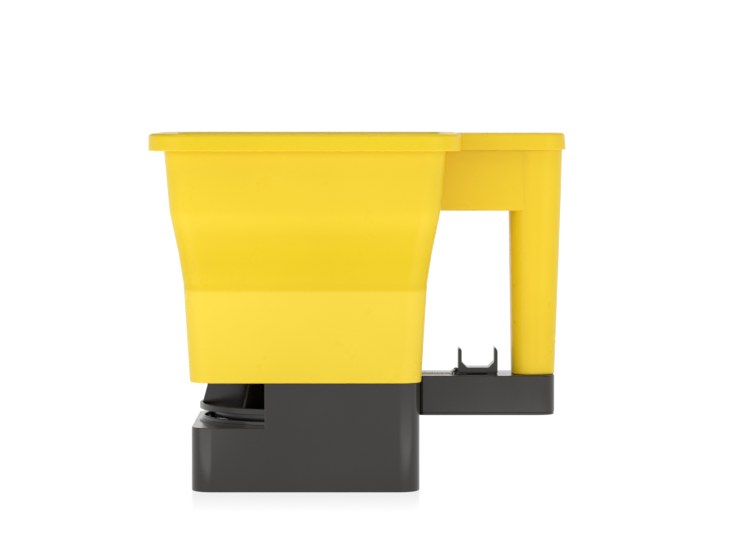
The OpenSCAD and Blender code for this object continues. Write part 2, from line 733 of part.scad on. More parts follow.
module keeper_screw() color(SCREW) translate([116, 0, arm_z1 - shell - 2.4 - 1.6]) screw(1.25, 7, 2.6, 1.5);

hopper();
handle();
base_housing();
disc_guard();
bottom_cover();
arm_shell();
arm_cover();
chute_plate();
deck_bush();
floor_seal();
crank_bush();
thrust_washer();
base_screws();
hopper_screws();
chute_screws();
arm_screws();
arm_cover_screws();
post_screw();
impeller();
impeller_shaft();
impeller_pin();
pinion();
agitator();
agitator_clip();
crank_axle();
crown_gear();
gear_screw();
crank_arm();
crank_screw();
knob_pin();
crank_knob();
knob_cap();
shutter_plate();
shutter_rod();
finger_slider();
slider_keeper();
keeper_screw();
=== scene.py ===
"""Hand-held rotary spreader: the looks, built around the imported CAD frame.

The yellow moulding, the black housing, the arm, the disc and the slider are remodelled here as
clean meshes with rounded edges. Every other CAD node is shown by a copy with softened edges.
Lengths are in millimetres in this file and become metres when a mesh is made.
"""

import json
import math

import bmesh
import bpy
from mathutils import Matrix, Vector


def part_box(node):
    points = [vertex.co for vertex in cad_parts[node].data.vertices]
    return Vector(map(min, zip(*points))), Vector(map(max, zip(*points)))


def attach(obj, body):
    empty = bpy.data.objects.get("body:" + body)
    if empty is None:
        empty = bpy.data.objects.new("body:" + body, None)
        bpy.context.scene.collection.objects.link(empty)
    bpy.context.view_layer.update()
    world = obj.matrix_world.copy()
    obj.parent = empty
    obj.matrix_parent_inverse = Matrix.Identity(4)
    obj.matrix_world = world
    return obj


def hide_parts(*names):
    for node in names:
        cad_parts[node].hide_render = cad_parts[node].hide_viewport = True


MM = 0.001
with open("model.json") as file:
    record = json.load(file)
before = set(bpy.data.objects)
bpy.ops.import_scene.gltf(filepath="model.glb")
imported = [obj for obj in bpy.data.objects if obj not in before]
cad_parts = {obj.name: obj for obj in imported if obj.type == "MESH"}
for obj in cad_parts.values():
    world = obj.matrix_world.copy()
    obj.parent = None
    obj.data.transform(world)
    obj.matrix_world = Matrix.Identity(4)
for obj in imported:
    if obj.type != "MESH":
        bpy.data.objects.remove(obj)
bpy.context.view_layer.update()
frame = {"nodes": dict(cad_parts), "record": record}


def cad_box(node):
    """Lowest and highest corner of a CAD node, in millimetres."""
    low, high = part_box(node)
    return low / MM, high / MM


# ---------------------------------------------------------------- sizes in millimetres, from the frame
# where its boxes give them and otherwise chosen

hopper_low, hopper_high = cad_box("hopper")
handle_high = cad_box("handle")[1]
base_high = cad_box("base_housing")[1]
arm_low, arm_high = cad_box("arm_shell")
cover_low = cad_box("arm_cover")[0]
disc_low, disc_high = cad_box("impeller")
slider_high = cad_box("finger_slider")[1]
shaft_low, shaft_high = cad_box("impeller_shaft")
bush_low, bush_high = cad_box("crank_bush")

TOP = handle_high.z
LIP_OUT = 10.0
LIP_DROP = 11.4
LIP_Z = TOP - LIP_DROP
TUB_HL = -hopper_low.x - LIP_OUT
TUB_HW = hopper_high.y - LIP_OUT
TUB_R = 14.0
TAPER = 16.0
WALL = 2.5
FOOT_Z = hopper_low.z
KINK_LOW = FOOT_Z + 66
KINK_MID = FOOT_Z + 86
KINK_HIGH = FOOT_Z + 113.3
FLOOR_UNDER = FOOT_Z + 4.3
FLOOR_TOP = FLOOR_UNDER + WALL
AGITATOR_HOLE_R = 6.1
SHUTTER_PORTS = ((4.0, 18.0, 8.0, 24.0), (4.0, 18.0, -24.0, -8.0))  # x from, x to, y from, y to

BASE_HL = base_high.x
BASE_HW = base_high.y
BASE_R = 14.0
BASE_H = FOOT_Z
SHELL = 2.5
DECK_Z = 42.8
WINDOW_X = -27.0
CRANK_Z = (bush_low.z + bush_high.z) / 2
CRANK_HOLE_R = 5.6
DECK_HOLE_R = 5.1
GUARD_GAP = 2.2
GUARD_WALL = 2.0

DISC_X = (shaft_low.x + shaft_high.x) / 2
DISC_R = (disc_high.x - disc_low.x) / 2
DISC_Z = 50.8
DISC_UNDER = 47.5
HUB_R = 9.0
HUB_TOP = 66.0
RIM_TOP = 55.0
RIM_WALL = 1.7
VANES = 6
VANE_TOP = disc_high.z
SHAFT_R = (shaft_high.x - shaft_low.x) / 2

ARM_TOP = cover_low.z + 26.8
ARM_RADII = (12, 3, 3, 12)
NECK_SLOT = (86.5, 123.5)
ROD_GROOVE = 27.0
SPIGOT_HL = 11.7
SPIGOT_HW = 16.2
POST_SCREW_R = 2.15
POST_X = 153.9
POST_HL = 14.5
POST_HW = 20.0
BRIDGE_HW = 19.5
BRIDGE_Z = TOP - 52.5
LUG_X = 101.6
LUG_Z = ARM_TOP + 2.0
LUG_R = 1.85
LUG_HOLE_R = 0.95
LUG_REACH = 1.3
SLIDER_L = 26.9
NECK = (109, 123)


# ---------------------------------------------------------------- mesh tools


def ring(hl, hw, radius, z, cx=0.0, corner=16, side=8):
    """Points round a rounded rectangle at height z, anticlockwise from +X."""
    radii = radius if isinstance(radius, (tuple, list)) else (radius,) * 4
    corners = []
    for (sx, sy, start), r in zip(((1, 1, 0), (-1, 1, 90), (-1, -1, 180), (1, -1, 270)), radii):
        arc = []
        for i in range(corner + 1):
            a = math.radians(start + 90 * i / corner)
            arc.append(Vector((cx + sx * (hl - r) + r * math.cos(a), sy * (hw - r) + r * math.sin(a), z)))
        corners.append(arc)
    points = []
    for k, arc in enumerate(corners):
        points += arc
        following = corners[(k + 1) % 4][0]
        points += [arc[-1].lerp(following, j / side) for j in range(1, side)]
    return points


def circle(r, z, cx, n=128):
    return [
        Vector((cx + r * math.cos(2 * math.pi * i / n), r * math.sin(2 * math.pi * i / n), z))
        for i in range(n)
    ]


def rounded_path(corners, step=15.0):
    """Turns (x, z, radius) corners into a path whose corners are arcs."""
    path = []
    for i, (x, z, r) in enumerate(corners):
        here = Vector((x, z))
        if r <= 0 or i in (0, len(corners) - 1):
            path.append(here)
            continue
        before = Vector(corners[i - 1][:2]) - here
        after = Vector(corners[i + 1][:2]) - here
        turn = math.pi - before.angle(after)
        if turn < 0.01:
            path.append(here)
            continue
        back = min(r * math.tan(turn / 2), 0.49 * before.length, 0.49 * after.length)
        r = back / math.tan(turn / 2)
        before.normalize()
        after.normalize()
        centre = here + (before + after).normalized() * (r / math.cos(turn / 2))
        v0 = here + before * back - centre
        v1 = here + after * back - centre
        n = max(3, round(math.degrees(turn) / step))
        for k in range(n + 1):
            t = k / n
            path.append(centre + (v0 * math.sin((1 - t) * turn) + v1 * math.sin(t * turn)) / math.sin(turn))
    return path


def new_object(name, bm):
    bmesh.ops.recalc_face_normals(bm, faces=bm.faces)
    bmesh.ops.scale(bm, vec=(MM, MM, MM), verts=bm.verts)
    mesh = bpy.data.meshes.new(name)
    bm.to_mesh(mesh)
    bm.free()
    obj = bpy.data.objects.new(name, mesh)
    bpy.context.scene.collection.objects.link(obj)
    return obj


def loft(name, rings):
    """A closed solid skinned over rings with the same number of points, capped at both ends."""
    bm = bmesh.new()
    rows = [[bm.verts.new(p) for p in points] for points in rings]
    n = len(rows[0])
    for low, high in zip(rows, rows[1:]):
        for i in range(n):
            bm.faces.new((low[i], low[(i + 1) % n], high[(i + 1) % n], high[i]))
    bm.faces.new(rows[0][::-1])
    bm.faces.new(rows[-1])
    return new_object(name, bm)


def spin(name, corners, cx):
    """A solid of revolution about a vertical axis, from a path that starts and ends near the axis."""
    return loft(name, [circle(max(x, 0.02), z, cx) for x, z in rounded_path(corners)])


def box(name, low, high):
    bm = bmesh.new()
    bmesh.ops.create_cube(bm, size=1.0)
    for v in bm.verts:
        for k in range(3):
            v.co[k] = low[k] if v.co[k] < 0 else high[k]
    return new_object(name, bm)


def extrude(name, outline, depth, place):
    """A closed outline in the plane of X and Y, raised by depth along Z, then put in place."""
    bm = bmesh.new()
    face = bm.faces.new([bm.verts.new((x, y, 0)) for x, y in outline])
    made = bmesh.ops.extrude_face_region(bm, geom=[face])["geom"]
    raised = [g for g in made if isinstance(g, bmesh.types.BMVert)]
    bmesh.ops.translate(bm, vec=(0, 0, depth), verts=raised)
    bmesh.ops.transform(bm, matrix=place, verts=bm.verts)
    return new_object(name, bm)


def bake(obj):
    """Applies the object's modifiers to its mesh."""
    made = bpy.data.meshes.new_from_object(obj.evaluated_get(bpy.context.evaluated_depsgraph_get()))
    obj.modifiers.clear()
    old = obj.data
    obj.data = made
    bpy.data.meshes.remove(old)
    return obj


def combine(obj, tool, operation):
    mod = obj.modifiers.new("combine", "BOOLEAN")
    mod.object = tool
    mod.operation = operation
    mod.solver = "EXACT"
    bake(obj)
    bpy.data.objects.remove(tool)
    return obj


def join_to(obj, *tools):
    for tool in tools:
        combine(obj, tool, "UNION")
    return obj


def cut(obj, *tools):
    for tool in tools:
        combine(obj, tool, "DIFFERENCE")
    return obj


def round_edges(obj, width, chosen, segments=3):
    """Rounds the edges that chosen(middle, edge) picks, where middle is in millimetres."""
    bm = bmesh.new()
    bm.from_mesh(obj.data)
    picked = [
        e
        for e in bm.edges
        if len(e.link_faces) == 2
        and e.calc_face_angle(0) > math.radians(35)
        and chosen((e.verts[0].co + e.verts[1].co) / (2 * MM), e)
    ]
    bmesh.ops.bevel(
        bm, geom=picked, offset=width * MM, offset_type="OFFSET", segments=segments,
        profile=0.5, affect="EDGES", clamp_overlap=True,
    )
    bm.to_mesh(obj.data)
    bm.free()
    return obj


def shade(obj, angle=32):
    """Smooth shading with sharp edges kept, and flats kept flat beside small roundings."""
    for p in obj.data.polygons:
        p.use_smooth = True
    obj.data.set_sharp_from_angle(angle=math.radians(angle))
    mod = obj.modifiers.new("flats", "WEIGHTED_NORMAL")
    mod.keep_sharp = True
    mod.weight = 80
    return bake(obj)


# ---------------------------------------------------------------- the yellow moulding


def wall_inset(z):
    """How far the tub's outside is set in at height z, from the wall under the lip."""
    levels = (
        (FOOT_Z, TAPER), (KINK_LOW, TAPER * 0.755), (KINK_MID, TAPER * 0.568),
        (KINK_HIGH, TAPER * 0.225), (LIP_Z, 0.0), (TOP, -0.6),
    )
    for (z0, u0), (z1, u1) in zip(levels, levels[1:]):
        if z <= z1:
            return u0 + (u1 - u0) * (max(z, z0) - z0) / (z1 - z0)
    return levels[-1][1]


def tub_ring(inset, z):
    """A ring that is set in by inset from the tub's outside at that height."""
    u = wall_inset(z) + inset
    return ring(TUB_HL - u, TUB_HW - u, max(TUB_R - inset, 1.0), z, corner=18, side=12)


def tub_path(corners):
    """Rounds a path given as (inset from the outside wall, z, radius)."""
    straight = [(wall_inset(z) + d, z, r) for d, z, r in corners]
    return [tub_ring(u - wall_inset(z), z) for u, z in rounded_path(straight)]


def make_tub():
    lip_in = -LIP_OUT + 2.0
    draft = 0.7
    return loft("tub", tub_path([
        (WALL + 12, FLOOR_UNDER, 0),
        (WALL, FLOOR_UNDER, 0.8),
        (WALL, FOOT_Z, 0.7),
        (0, FOOT_Z, 0.9),
        (0, KINK_LOW, 25),
        (0, KINK_MID, 60),
        (0, KINK_HIGH, 40),
        (0, TOP - WALL, 1.2),
        (lip_in, TOP - WALL, 1.0),
        (lip_in, LIP_Z, 0.8),
        (-LIP_OUT, LIP_Z, 0.8),
        (-LIP_OUT + draft, TOP, 2.4),
        (WALL - 0.4, TOP, 2.0),
        (WALL, KINK_HIGH, 40),
        (WALL, KINK_MID, 60),
        (WALL, KINK_LOW, 25),
        (WALL, FLOOR_TOP, 4),
        (WALL + 12, FLOOR_TOP, 0),
    ]))


def tub_inside(name):
    """The space inside the tub, a little larger at the top so that a cut is clean."""
    levels = (FLOOR_TOP, KINK_LOW, KINK_MID, KINK_HIGH, LIP_Z, TOP + 3)
    return loft(name, [tub_ring(WALL * 0.6, z) for z in levels])


def post_path(inset, z0, z1, foot_round):
    """The post, which widens a little towards the top."""
    levels = ((ARM_TOP, 0.0, -1.0, 13.0), (LIP_Z - 42, 2.8, 0.6, 14.0), (LIP_Z, 3.6, 1.0, 14.5))

    def level(z):
        for (za, la, wa, ra), (zb, lb, wb, rb) in zip(levels, levels[1:]):
            if z <= zb or zb == LIP_Z:
                t = (z - za) / (zb - za)
                return la + (lb - la) * t, wa + (wb - wa) * t, ra + (rb - ra) * t

    def at(z, extra):
        more_l, more_w, r = level(z)
        return ring(
            POST_HL + more_l - inset - extra, POST_HW + more_w - inset - extra, r - inset - extra,
            z, cx=POST_X + more_l * 0.35, corner=20, side=6,
        )

    rings = [at(z0 + foot_round * (1 - math.sin(a)), foot_round * (1 - math.cos(a)))
             for a in (math.radians(90 - 15 * k) for k in range(7))] if foot_round else [at(z0, 0)]
    return rings + [at(z0 + (z1 - z0) * t, 0) for t in (0.25, 0.5, 0.75, 1.0)]


def bridge_rings(inset, x0, x1, low, high, r):
    """The bridge's section, swept along X: rounded at its two lower edges."""
    rings = []
    for x in (x0, x1):
        section = rounded_path([
            (BRIDGE_HW - inset, high, 0), (-BRIDGE_HW + inset, high, 0), (-BRIDGE_HW + inset, low, r),
            (BRIDGE_HW - inset, low, r), (BRIDGE_HW - inset, high, 0),
        ])[:-1]
        rings.append([Vector((x, y, z)) for y, z in section])
    return rings


def make_handle():
    x0 = TUB_HL - 2.0
    x1 = handle_high.x
    cx = (x0 + x1) / 2
    hl = (x1 - x0) / 2
    hw = BRIDGE_HW + 6.0
    r = 15.0

    def lid_ring(inset, z):
        return ring(hl - inset, hw - inset, r - inset, z, cx=cx, corner=18, side=8)

    outside = rounded_path([(2.0, LIP_Z, 0), (0, LIP_Z, 0.8), (0.9, TOP, 2.2), (12, TOP, 0)])
    lid = loft("handle", [lid_ring(u, z) for u, z in outside])
    inside = [lid_ring(2.0, LIP_Z - 2), lid_ring(2.0, TOP - WALL - 0.8), lid_ring(2.8, TOP - WALL)]
    cut(lid, loft("lid_inside", inside))
    bridge = loft("bridge", bridge_rings(0, TUB_HL - 8, POST_X - 6, BRIDGE_Z, TOP - 1.2, 1.0))
    post = loft("post", post_path(0, ARM_TOP + 0.1, TOP - 1.2, 1.0))
    join_to(lid, bridge, post)
    hollow = loft("hollow", bridge_rings(WALL, TUB_HL - 10, POST_X - 6, BRIDGE_Z - 3, TOP - WALL, 0))
    cut(hollow, loft("post_out", post_path(0.01, ARM_TOP, TOP, 0)))
    cut(lid, hollow, loft("post_in", post_path(WALL, ARM_TOP - 2, LIP_Z, 0)))
    return cut(lid, tub_inside("tub_in"))


def make_hopper():
    tub = make_tub()
    holes = []
    for i, (xa, xb, ya, yb) in enumerate(SHUTTER_PORTS):
        holes.append(box(f"port{i}", (xa, ya, FLOOR_UNDER - 2), (xb, yb, FLOOR_TOP + 2)))
    through_floor = (FLOOR_UNDER - 2, FLOOR_TOP + 2)
    holes.append(loft("shaft_hole", [circle(AGITATOR_HOLE_R, z, DISC_X, n=64) for z in through_floor]))
    foot_x = TUB_HL - TAPER
    holes.append(box("rod_notch", (foot_x - WALL - 2, -4.4, FOOT_Z - 2), (foot_x + 3, -1.0, FOOT_Z + 3)))
    cut(tub, *holes)
    join_to(tub, make_handle())
    tub.name = "hopper_moulding"
    return shade(tub)


# ---------------------------------------------------------------- black mouldings


def collar(name, r, top, thick, rounding):
    """A ring round the disc, standing on the deck."""
    n = 128
    path = rounded_path([
        (r, DECK_Z - 1, 0), (r, top, rounding), (r - thick, top, rounding), (r - thick, DECK_Z - 1, 0),
    ])
    bm = bmesh.new()
    rows = [[bm.verts.new(p) for p in circle(x, z, DISC_X, n=n)] for x, z in path]
    for low, high in zip(rows, rows[1:] + rows[:1]):
        for i in range(n):
            bm.faces.new((low[i], low[(i + 1) % n], high[(i + 1) % n], high[i]))
    return new_object(name, bm)


def make_housing():
    def at(inset, z):
        return ring(BASE_HL - inset, BASE_HW - inset, BASE_R - inset, z, corner=20, side=8)

    outside = rounded_path([(8, 0, 0), (0, 0, 0.8), (0, BASE_H, 0.5), (8, BASE_H, 0)])
    shell = loft("housing", [at(u, z) for u, z in outside])
    cut(
        shell,
        loft("room_low", [at(SHELL, -2), at(SHELL, DECK_Z - SHELL)]),
        loft("room_high", [at(SHELL, DECK_Z), at(SHELL, BASE_H + 5)]),
        box("window", (-BASE_HL - 5, -BASE_HW - 5, DECK_Z), (WINDOW_X, BASE_HW + 5, BASE_H + 5)),
    )

    def window_edge(p, edge):
        on_deck = abs(p.z - DECK_Z) < 0.05 and p.x < WINDOW_X + 0.1
        on_side = abs(p.x - WINDOW_X) < 0.05 and p.z > DECK_Z + 0.5
        return on_deck or on_side

    round_edges(shell, 0.9, window_edge)
    guard_r = DISC_R + GUARD_GAP
    guard = loft("guard", [circle(guard_r + GUARD_WALL, z, DISC_X) for z in (DECK_Z - 0.5, BASE_H - 0.4)])
    cut(guard, loft("guard_in", [circle(guard_r, z, DISC_X) for z in (DECK_Z - 2, BASE_H + 2)]))
    cut(guard, box("guard_front", (-BASE_HL * 2, -BASE_HW * 2, 0), (DISC_X, BASE_HW * 2, BASE_H * 2)))
    cut(guard, box("guard_left", (-BASE_HL * 2, -BASE_HW * 2, 0), (BASE_HL * 2, 1 - BASE_HW, BASE_H * 2)))
    cut(guard, box("guard_right", (-BASE_HL * 2, BASE_HW - 1, 0), (BASE_HL * 2, BASE_HW * 2, BASE_H * 2)))
    join_to(
        shell, guard,
        collar("collar_low", DISC_R + 0.3, DECK_Z + 1.3, 2.6, 0.4),
        collar("collar_high", DISC_R - 1.3, DECK_Z + 3.6, 1.8, 0.6),
    )
    cut(
        shell,
        loft("bush_hole", [circle(DECK_HOLE_R, z, DISC_X, n=64) for z in (DECK_Z - 6, DECK_Z + 6)]),
        bored_along_y("crank_hole", CRANK_HOLE_R, BASE_HW - 6, BASE_HW + 6, CRANK_Z),
    )
    shell.name = "housing_moulding"
    return shade(shell)


def bored_along_y(name, r, y0, y1, z, n=64):
    rings = [
        [Vector((DISC_X + r * math.cos(2 * math.pi * i / n), y, z + r * math.sin(2 * math.pi * i / n)))
         for i in range(n)]
        for y in (y0, y1)
    ]
    return loft(name, rings)


def make_arm():
    x0 = arm_low.x
    x1 = arm_high.x
    low = arm_low.z
    hl = (x1 - x0) / 2
    cx = (x0 + x1) / 2
    hw = arm_high.y

    def at(inset, z):
        radii = tuple(max(r - inset, 0.4) for r in ARM_RADII)
        return ring(hl - inset, hw - inset, radii, z, cx=cx, corner=16, side=8)

    outside = rounded_path([(6, low, 0), (0, low, 0.3), (0, ARM_TOP, 0.9), (8, ARM_TOP, 0)])
    shell = loft("arm", [at(u, z) for u, z in outside])
    cut(
        shell,
        loft("arm_room", [at(SHELL, low - 2), at(SHELL, ARM_TOP - SHELL)]),
        box("rod_groove", (x0 - 1, -4.0, ARM_TOP - 1.1), (x0 + ROD_GROOVE, -1.4, ARM_TOP + 2)),
        box("neck_slot", (NECK_SLOT[0], -3.4, ARM_TOP - 5), (NECK_SLOT[1], 3.4, ARM_TOP + 2)),
    )
    spigot = loft("spigot", [
        ring(SPIGOT_HL, SPIGOT_HW, 10, z, cx=POST_X, corner=12, side=4)
        for z in (ARM_TOP - 1, ARM_TOP + 9)
    ])
    join_to(shell, spigot)
    screw_way = [circle(POST_SCREW_R, z, POST_X, n=32) for z in (ARM_TOP - 6, ARM_TOP + 20)]
    cut(shell, loft("screw_way", screw_way))
    shell.name = "arm_moulding"
    return shade(shell)


# ---------------------------------------------------------------- disc


def make_vane(k):
    """One curved upright vane of even thickness, with a rounded top edge and its outer end set back towards
    the top.
    """
    r0, r1 = 6.5, DISC_R - 1.4
    shoulder = 55.9
    set_back = 4.9
    bend = 70.0
    middle = (8 + DISC_R) / 2
    reach = DISC_R - middle
    steps = 20
    half = 0.8
    foot = DISC_Z + 1.6
    angle = math.radians(180 + 360 * k / VANES)
    rings = []
    for i in range(steps + 1):
        t = i / steps
        section = []
        for side, up in ((-1, 0), (-1, 0.96), (-0.5, 1.0), (0.5, 1.0), (1, 0.96), (1, 0)):
            above = max(0.0, (up * (VANE_TOP - foot) + foot - shoulder) / (VANE_TOP - shoulder))
            r = r0 + (r1 - set_back * above - r0) * t
            across = math.sqrt(bend * bend - (r - middle) ** 2) - math.sqrt(bend * bend - reach * reach)
            y = across + side * half
            z = foot + up * (VANE_TOP - foot)
            section.append(Vector((
                DISC_X + r * math.cos(angle) - y * math.sin(angle),
                r * math.sin(angle) + y * math.cos(angle),
                z,
            )))
        rings.append(section)
    return loft(f"vane{k}", rings)


def make_disc():
    rim = DISC_R
    disc = spin("disc", [
        (0, DISC_UNDER, 0), (HUB_R, DISC_UNDER, 0.5), (HUB_R, DISC_Z + 0.8, 0.8),
        (rim - 11.8, DISC_Z + 0.8, 0.4),
        (rim - 11.8, DECK_Z + 2.8, 0.3), (rim - 10, DECK_Z + 2.8, 0.3), (rim - 10, DISC_Z + 0.8, 0.4),
        (rim - RIM_WALL, DISC_Z + 0.8, 0.3),
        (rim - RIM_WALL, DISC_Z, 0.3), (rim, DISC_Z, 0.5), (rim, RIM_TOP, 0.5),
        (rim - RIM_WALL, RIM_TOP, 0.4),
        (rim - 2.4, DISC_Z + 2.4, 0.6), (9.5, DISC_Z + 2.4, 2.5), (7.5, HUB_TOP, 1.0), (0, HUB_TOP, 0),
    ], DISC_X)
    join_to(disc, *[make_vane(k) for k in range(VANES)])
    cut(disc, loft("shaft_way", [circle(SHAFT_R + 0.05, z, DISC_X, n=48) for z in (40, 80)]))
    disc.name = "disc_moulding"
    return shade(disc)


# ---------------------------------------------------------------- slider


def make_slider():
    x1 = slider_high.x
    x0 = x1 - SLIDER_L
    z0 = ARM_TOP + 0.3
    top = slider_high.z
    fin = 2.5
    block = ARM_TOP + 4.4
    gusset = 3.7
    hw = slider_high.y
    outline = [
        (x0, z0), (x1, z0), (x1, top - 3.0), (x1 - 0.5, top - 1.5), (x1 - 1.4, top - 0.4), (x1 - fin, top),
        (x1 - fin, block + gusset), (x1 - fin - gusset, block), (x0 + fin + gusset, block),
        (x0 + fin, block + gusset), (x0 + fin, top - 2.2), (x0 + fin - 0.6, top - 1.2), (x0 + 1, top - 0.6),
        (x0, top - 0.8),
    ]
    place = Matrix.Translation((0, hw, 0)) @ Matrix.Rotation(math.radians(90), 4, "X")
    slider = extrude("slider", outline, 2 * hw, place)
    round_edges(slider, 0.45, lambda p, e: True, segments=2)

    def lug_disc(name, r, reach):
        return loft(name, [
            [Vector((LUG_X + r * math.cos(a), y, LUG_Z + r * math.sin(a)))
             for a in (2 * math.pi * i / 32 for i in range(32))]
            for y in (-reach, reach)
        ])

    join_to(
        slider,
        lug_disc("lug", LUG_R, LUG_REACH),
        box("lug_web", (LUG_X, -LUG_REACH, LUG_Z - 1.2), (x0 + 1, LUG_REACH, LUG_Z + 1.2)),
        box("neck", (NECK[0], -3, ARM_TOP - 2.6), (NECK[1], 3, z0 + 0.5)),
    )
    cut(slider, lug_disc("lug_hole", LUG_HOLE_R, 5))
    slider.name = "slider_moulding"
    return shade(slider)


# ---------------------------------------------------------------- materials

# Painted shade and painted sheen on the tub: how much the yellow is multiplied by at each height, in
# millimetres, with a darker middle band as painted shade and more blue low down as painted sheen, and the
# handle's own factor in place of the bands.
SHADE_AND_SHEEN_SPAN = 250.0
SHADE_AND_SHEEN_BANDS = (
    (72, (1.01, 1.02, 1.4)), (100, (1.015, 1.03, 1.8)), (133.0, (1.015, 1.035, 2.0)),
    (134.6, (0.925, 0.915, 0.3)), (152, (0.905, 0.89, 0.0)), (170, (0.92, 0.91, 0.3)),
    (180, (0.97, 0.97, 0.9)), (222, (0.975, 0.975, 0.9)), (226, (0.95, 0.945, 0.4)),
)
HANDLE_TINT = (0.995, 0.96, 0.7)


def material(name):
    mat = bpy.data.materials.new(name)
    mat.use_nodes = True
    tree = mat.node_tree
    return mat, tree, tree.nodes["Principled BSDF"]


def noise(tree, scale, detail):
    coords = tree.nodes.new("ShaderNodeTexCoord")
    node = tree.nodes.new("ShaderNodeTexNoise")
    node.inputs["Scale"].default_value = scale
    node.inputs["Detail"].default_value = detail
    tree.links.new(coords.outputs["Object"], node.inputs["Vector"])
    return node.outputs["Fac"]


def ramp(tree, value, low, high, start=0.35, end=0.65):
    node = tree.nodes.new("ShaderNodeMapRange")
    node.inputs["From Min"].default_value = start
    node.inputs["From Max"].default_value = end
    node.inputs["To Min"].default_value = low
    node.inputs["To Max"].default_value = high
    tree.links.new(value, node.inputs["Value"])
    return node.outputs["Result"]


def tint(tree, value, first, second):
    node = tree.nodes.new("ShaderNodeMix")
    node.data_type = "RGBA"
    node.inputs["A"].default_value = (*first, 1)
    node.inputs["B"].default_value = (*second, 1)
    tree.links.new(value, node.inputs["Factor"])
    return node.outputs["Result"]


def bump(tree, shader, value, distance, previous=None):
    node = tree.nodes.new("ShaderNodeBump")
    node.inputs["Distance"].default_value = distance
    tree.links.new(value, node.inputs["Height"])
    if previous is not None:
        tree.links.new(previous, node.inputs["Normal"])
    tree.links.new(node.outputs["Normal"], shader.inputs["Normal"])
    return node.outputs["Normal"]


def paint_shade_and_sheen(tree, colour):
    """Painted shade and sheen on the tub: the middle band is darker as painted shade, crisp at its foot and
    soft at its top, and the lower band is bluer as painted sheen.
    """
    coords = tree.nodes.new("ShaderNodeTexCoord")
    split = tree.nodes.new("ShaderNodeSeparateXYZ")
    tree.links.new(coords.outputs["Object"], split.inputs["Vector"])
    height = ramp(tree, split.outputs["Z"], 0, 1, 0, SHADE_AND_SHEEN_SPAN * MM)
    painted_bands = tree.nodes.new("ShaderNodeValToRGB")
    stops = painted_bands.color_ramp.elements
    while len(stops) < len(SHADE_AND_SHEEN_BANDS):
        stops.new(0.5)
    for stop, (z, factor) in zip(stops, SHADE_AND_SHEEN_BANDS):
        stop.position = z / SHADE_AND_SHEEN_SPAN
        stop.color = (*factor, 1)
    tree.links.new(height, painted_bands.inputs["Fac"])
    on_handle = ramp(tree, split.outputs["X"], 0, 1, (TUB_HL + 0.5) * MM, (TUB_HL + 3) * MM)
    local = tree.nodes.new("ShaderNodeMix")
    local.data_type = "RGBA"
    local.inputs["B"].default_value = (*HANDLE_TINT, 1)
    tree.links.new(on_handle, local.inputs["Factor"])
    tree.links.new(painted_bands.outputs["Color"], local.inputs["A"])
    product = tree.nodes.new("ShaderNodeMix")
    product.data_type = "RGBA"
    product.blend_type = "MULTIPLY"
    product.inputs["Factor"].default_value = 1.0
    tree.links.new(colour, product.inputs["A"])
    tree.links.new(local.outputs["Result"], product.inputs["B"])
    return product.outputs["Result"]


def moulded(name, first, second, rough, grain=0.00002, specular=0.5, wave=0.00012, painted_bands=False):
    """Injection-moulded plastic: faint mottling, a fine grain and the slow unevenness of a thin wall, and
    on request the tub's painted shade and painted sheen in height bands.
    """
    mat, tree, shader = material(name)
    shader.inputs["IOR"].default_value = 1.48
    shader.inputs["Specular IOR Level"].default_value = specular
    colour = tint(tree, ramp(tree, noise(tree, 14, 3), 0, 1), first, second)
    # Painted shade and painted sheen in height bands, for the tub.
    if painted_bands:
        colour = paint_shade_and_sheen(tree, colour)
    tree.links.new(colour, shader.inputs["Base Color"])
    tree.links.new(ramp(tree, noise(tree, 45, 4), rough - 0.03, rough + 0.04), shader.inputs["Roughness"])
    slow = bump(tree, shader, noise(tree, 16, 2), wave)
    bump(tree, shader, noise(tree, 1600, 3), grain, previous=slow)
    return mat


def metal(name, colour, rough):
    mat, tree, shader = material(name)
    shader.inputs["Metallic"].default_value = 1.0
    shader.inputs["Base Color"].default_value = (*colour, 1)
    wear = ramp(tree, noise(tree, 400, 4), rough - 0.08, rough + 0.1)
    tree.links.new(wear, shader.inputs["Roughness"])
    bump(tree, shader, noise(tree, 900, 3), 0.00001)
    return mat


MATERIALS = {
    # The yellow carries painted shade and painted sheen in height bands on the tub.
    "yellow": moulded(
        "yellow_plastic", (0.81, 0.58, 0.019), (0.83, 0.60, 0.023), 0.30, specular=0.27, painted_bands=True),
    "black": moulded(
        "black_plastic", (0.0205, 0.0175, 0.0135), (0.0245, 0.0215, 0.0175), 0.14,
        grain=0.000008, wave=0.00004),
    "dark": moulded("dark_plastic", (0.010, 0.008, 0.006), (0.013, 0.011, 0.008), 0.2, specular=0.42),
    "acetal": moulded("acetal", (0.70, 0.69, 0.64), (0.75, 0.74, 0.69), 0.35),
    "seal": moulded("seal_rubber", (0.015, 0.015, 0.015), (0.02, 0.02, 0.02), 0.6),
    "steel": metal("zinc_wire", (0.62, 0.63, 0.65), 0.25),
    "screw": metal("zinc_screw", (0.55, 0.56, 0.57), 0.32),
}


def finish_piece(obj, slot, body, *nodes):
    obj.data.materials.clear()
    obj.data.materials.append(MATERIALS[slot])
    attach(obj, body)
    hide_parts(*nodes)


def soften(node, width):
    """A copy of a CAD node, smoothly shaded, with its sharp edges rounded if width isn't 0."""
    copy = bpy.data.objects.new(node + "_soft", frame["nodes"][node].data.copy())
    bpy.context.scene.collection.objects.link(copy)
    bm = bmesh.new()
    bm.from_mesh(copy.data)
    bmesh.ops.remove_doubles(bm, verts=bm.verts, dist=2e-6)
    bmesh.ops.dissolve_limit(bm, angle_limit=math.radians(0.6), verts=bm.verts, edges=bm.edges)
    if width:
        sharp = math.radians(28)
        picked = [e for e in bm.edges if len(e.link_faces) == 2 and e.calc_face_angle(0) > sharp]
        bmesh.ops.bevel(
            bm, geom=picked, offset=width * MM, offset_type="OFFSET", segments=3,
            profile=0.5, affect="EDGES", clamp_overlap=True,
        )
    bm.to_mesh(copy.data)
    bm.free()
    return shade(copy)


